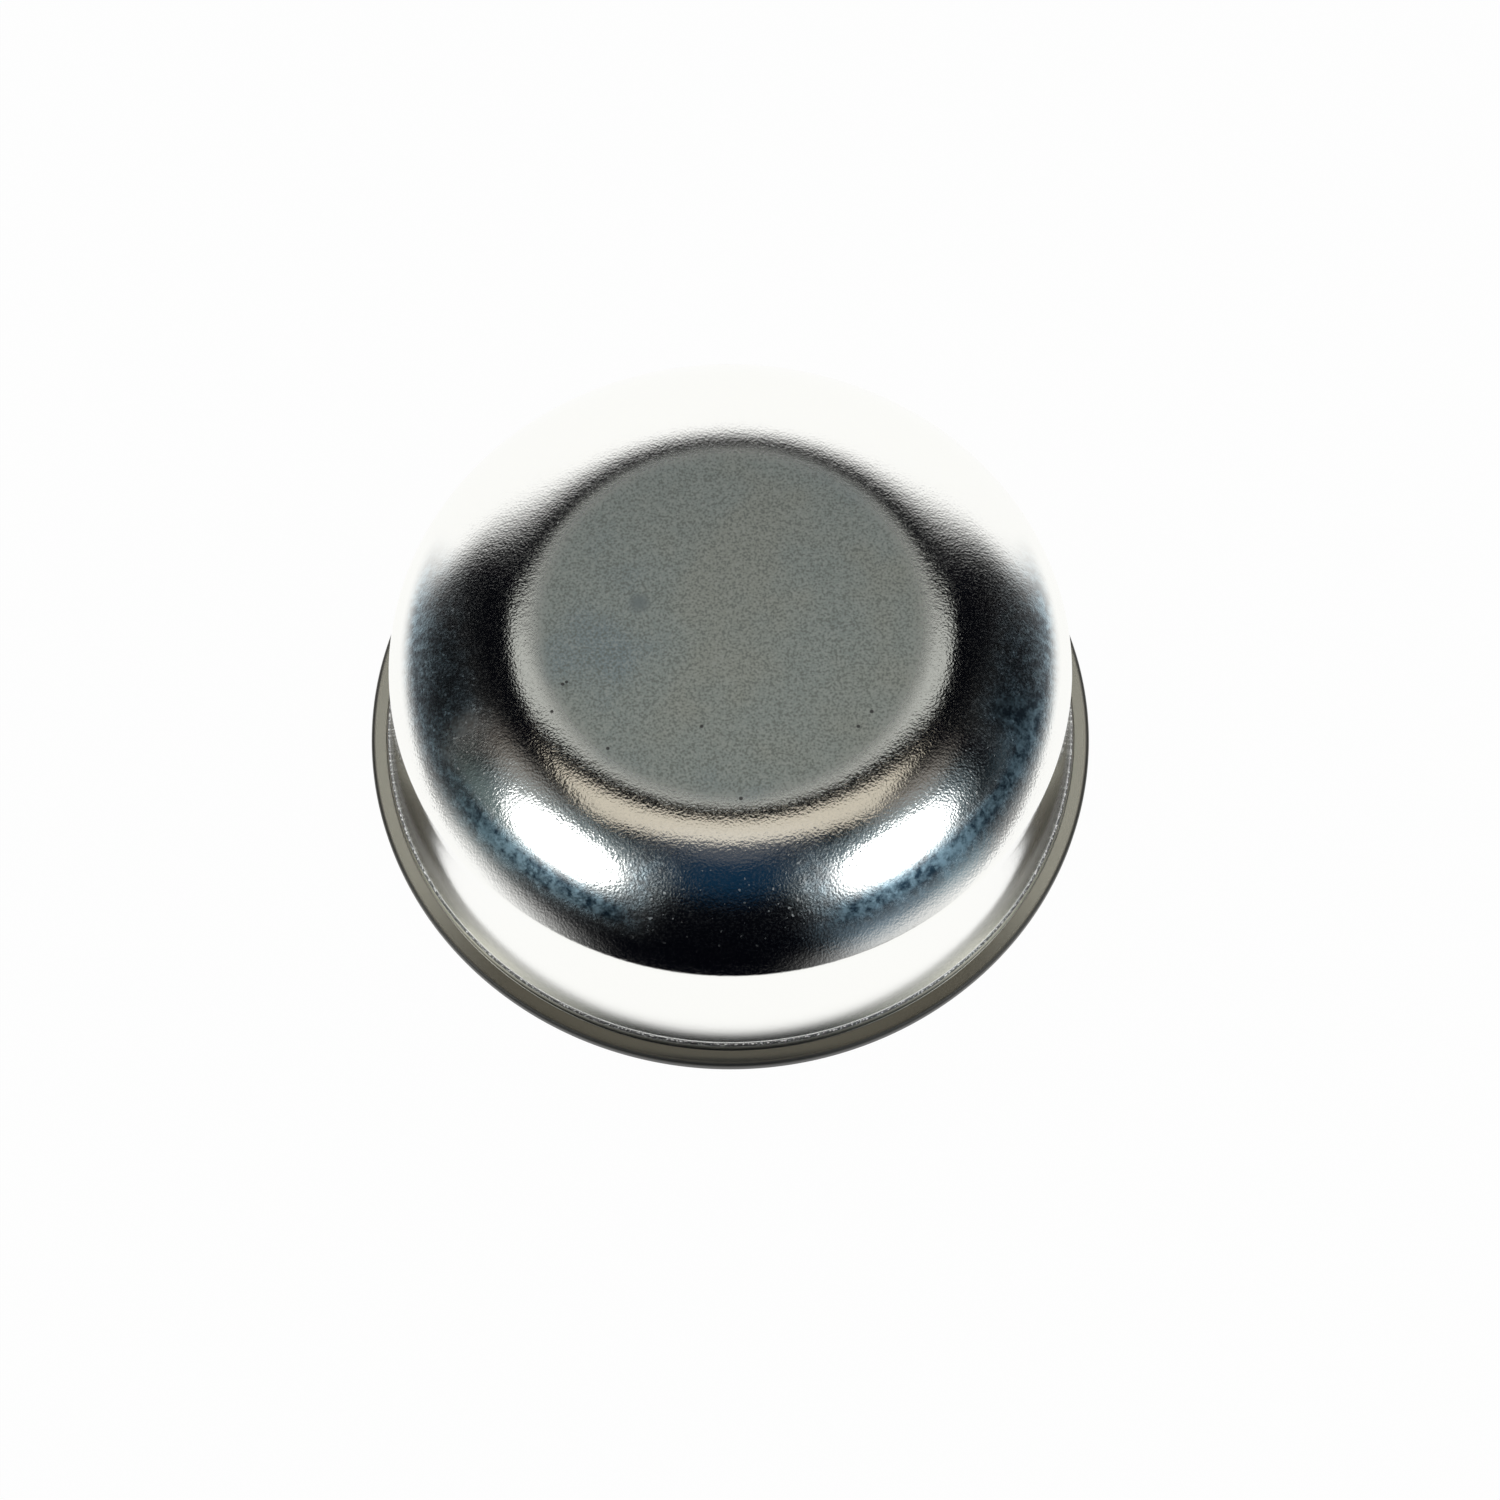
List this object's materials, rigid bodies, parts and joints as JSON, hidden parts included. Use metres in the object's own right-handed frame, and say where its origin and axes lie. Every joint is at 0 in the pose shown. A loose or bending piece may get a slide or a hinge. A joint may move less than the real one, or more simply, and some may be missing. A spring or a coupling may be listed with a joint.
{
  "type": "hub grease cap",
  "caption": "Round pressed-steel cap with a flat crown, rounded shoulder and narrow flange that closes a wheel hub, keeping grease in and dirt out.",
  "frame": {"origin": "middle of the flange's underside, on the cap's axis", "axes": "+Z along the cap's axis, from the open mouth to the crown; X and Y are alike, since the cap is round"},
  "size_m": [0.063, 0.063, 0.0205],
  "materials": {
    "zinc_plated_steel": "bright zinc plate over drawn steel, matt on the crown and shinier on the shoulder"
  },
  "bodies": {
    "root": {"grease_cap": "zinc_plated_steel"}
  },
  "joints": []
}
